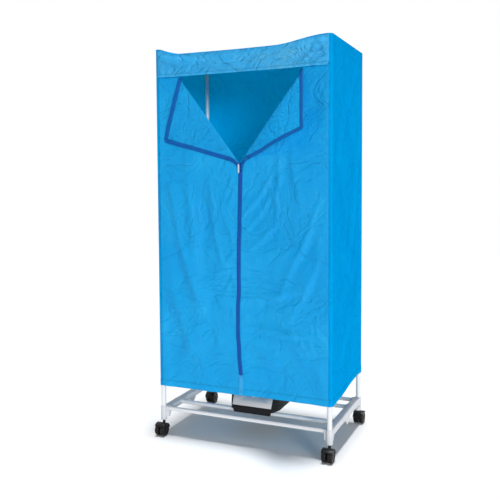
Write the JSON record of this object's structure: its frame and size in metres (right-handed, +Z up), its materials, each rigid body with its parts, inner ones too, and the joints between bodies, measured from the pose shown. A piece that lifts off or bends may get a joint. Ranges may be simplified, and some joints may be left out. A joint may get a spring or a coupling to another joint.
{
  "type": "drying cabinet",
  "caption": "Portable clothes-drying cabinet: tube frame on twin-wheel castors, lift-off fan heater in the base, zipped cloth cover with its front corners folded out.",
  "frame": {"origin": "on the floor under the castors, midway between the four posts", "axes": "+Z up along the posts, +Y from the zipped front to the back, +X to the right seen from the front"},
  "size_m": [0.7212, 0.5661, 1.5],
  "materials": {
    "frame_plastic": "speckled silver-grey moulding",
    "steel_tube": "smooth light silver coating",
    "castor_black": "black moulding",
    "castor_tread": "smooth black nylon",
    "heater_black": "fine-grained black moulding",
    "heater_silver": "plate brushed along its width",
    "element_aluminium": "plain fins",
    "motor_can": "dark can",
    "fan_plastic": "heat-resistant moulding",
    "knob_pale": "pale moulded dial",
    "lens_amber": "unlit translucent lens",
    "inlet_black": "black socket body",
    "blue_cloth": "light woven polyester",
    "zip_blue": "moulded teeth on a woven tape",
    "zip_metal": "pale enamel"
  },
  "bodies": {
    "cabinet": {"end_frame_left": "frame_plastic", "end_frame_right": "frame_plastic", "front_rail": "steel_tube", "heater_rail_front": "steel_tube", "heater_rail_rear": "steel_tube", "rear_rail": "steel_tube", "lower_post_front_left": "steel_tube", "upper_post_front_left": "steel_tube", "lower_post_front_right": "steel_tube", "upper_post_front_right": "steel_tube", "lower_post_rear_left": "steel_tube", "upper_post_rear_left": "steel_tube", "lower_post_rear_right": "steel_tube", "upper_post_rear_right": "steel_tube", "top_end_bar_left": "frame_plastic", "top_end_bar_right": "frame_plastic", "hanging_rail_front": "steel_tube", "hanging_rail_rear": "steel_tube", "cover_top": "blue_cloth", "cover_back": "blue_cloth", "cover_side_left": "blue_cloth", "cover_side_right": "blue_cloth", "cover_front_left": "blue_cloth", "cover_front_right": "blue_cloth", "valance": "blue_cloth", "zip_chain": "zip_blue"},
    "castor_front_left": {"castor_hood_front_left": "castor_black"},
    "wheel_front_left_a": {"castor_wheel_front_left_a": "castor_tread"},
    "wheel_front_left_b": {"castor_wheel_front_left_b": "castor_tread"},
    "castor_front_right": {"castor_hood_front_right": "castor_black"},
    "wheel_front_right_a": {"castor_wheel_front_right_a": "castor_tread"},
    "wheel_front_right_b": {"castor_wheel_front_right_b": "castor_tread"},
    "castor_rear_left": {"castor_hood_rear_left": "castor_black"},
    "wheel_rear_left_a": {"castor_wheel_rear_left_a": "castor_tread"},
    "wheel_rear_left_b": {"castor_wheel_rear_left_b": "castor_tread"},
    "castor_rear_right": {"castor_hood_rear_right": "castor_black"},
    "wheel_rear_right_a": {"castor_wheel_rear_right_a": "castor_tread"},
    "wheel_rear_right_b": {"castor_wheel_rear_right_b": "castor_tread"},
    "heater": {"heater_base": "heater_black", "heater_shell": "heater_black", "heater_front_panel": "heater_silver", "outlet_grille": "heater_black", "heating_element": "element_aluminium", "fan_motor": "motor_can", "indicator_lens": "lens_amber", "power_inlet": "inlet_black"},
    "fan": {"fan_impeller": "fan_plastic"},
    "knob": {"timer_knob": "knob_pale"},
    "flap_left": {"flap_left": "blue_cloth"},
    "flap_right": {"flap_right": "blue_cloth"},
    "zip_slider": {"zip_slider": "zip_metal"},
    "zip_pull": {"zip_pull": "zip_metal"}
  },
  "joints": [
    {"name": "swivel_front_left", "type": "hinge", "parent": "cabinet", "child": "castor_front_left", "pos_m": [-0.34, -0.2, 0.06], "axis": [0, 0, 1], "continuous": true},
    {"name": "roll_front_left_a", "type": "hinge", "parent": "castor_front_left", "child": "wheel_front_left_a", "pos_m": [-0.34, -0.218, 0.024], "axis": [1, 0, 0], "continuous": true},
    {"name": "roll_front_left_b", "type": "hinge", "parent": "castor_front_left", "child": "wheel_front_left_b", "pos_m": [-0.34, -0.218, 0.024], "axis": [1, 0, 0], "continuous": true},
    {"name": "swivel_front_right", "type": "hinge", "parent": "cabinet", "child": "castor_front_right", "pos_m": [0.34, -0.2, 0.06], "axis": [0, 0, 1], "continuous": true},
    {"name": "roll_front_right_a", "type": "hinge", "parent": "castor_front_right", "child": "wheel_front_right_a", "pos_m": [0.34, -0.218, 0.024], "axis": [1, 0, 0], "continuous": true},
    {"name": "roll_front_right_b", "type": "hinge", "parent": "castor_front_right", "child": "wheel_front_right_b", "pos_m": [0.34, -0.218, 0.024], "axis": [1, 0, 0], "continuous": true},
    {"name": "swivel_rear_left", "type": "hinge", "parent": "cabinet", "child": "castor_rear_left", "pos_m": [-0.34, 0.2, 0.06], "axis": [0, 0, 1], "continuous": true},
    {"name": "roll_rear_left_a", "type": "hinge", "parent": "castor_rear_left", "child": "wheel_rear_left_a", "pos_m": [-0.34, 0.218, 0.024], "axis": [1, 0, 0], "continuous": true},
    {"name": "roll_rear_left_b", "type": "hinge", "parent": "castor_rear_left", "child": "wheel_rear_left_b", "pos_m": [-0.34, 0.218, 0.024], "axis": [1, 0, 0], "continuous": true},
    {"name": "swivel_rear_right", "type": "hinge", "parent": "cabinet", "child": "castor_rear_right", "pos_m": [0.34, 0.2, 0.06], "axis": [0, 0, 1], "continuous": true},
    {"name": "roll_rear_right_a", "type": "hinge", "parent": "castor_rear_right", "child": "wheel_rear_right_a", "pos_m": [0.34, 0.218, 0.024], "axis": [1, 0, 0], "continuous": true},
    {"name": "roll_rear_right_b", "type": "hinge", "parent": "castor_rear_right", "child": "wheel_rear_right_b", "pos_m": [0.34, 0.218, 0.024], "axis": [1, 0, 0], "continuous": true},
    {"name": "heater_lift", "type": "slide", "parent": "cabinet", "child": "heater", "axis": [0, 0, 1], "range_m": [0, 0.12]},
    {"name": "fan_spin", "type": "hinge", "parent": "heater", "child": "fan", "pos_m": [0, 0.012, 0.15], "axis": [0, 0, 1], "continuous": true},
    {"name": "knob_turn", "type": "hinge", "parent": "heater", "child": "knob", "pos_m": [0, -0.08847, 0.17434], "axis": [0, -0.899, 0.438], "range_deg": [0, 300]},
    {"name": "flap_left_fold", "type": "hinge", "parent": "cabinet", "child": "flap_left", "pos_m": [0, -0.21195, 1.06], "axis": [-0.6038, 0, 0.7971], "range_deg": [0, 178]},
    {"name": "flap_right_fold", "type": "hinge", "parent": "cabinet", "child": "flap_right", "pos_m": [0, -0.21195, 1.06], "axis": [-0.6038, 0, -0.7971], "range_deg": [-33.5, 144]},
    {"name": "zip_slide", "type": "slide", "parent": "cabinet", "child": "zip_slider", "axis": [0, 0, 1], "range_m": [-0.76, 0]},
    {"name": "zip_pull_swing", "type": "hinge", "parent": "zip_slider", "child": "zip_pull", "pos_m": [0, -0.2191, 1.05663], "axis": [-1, 0, 0], "range_deg": [-3, 150]}
  ]
}
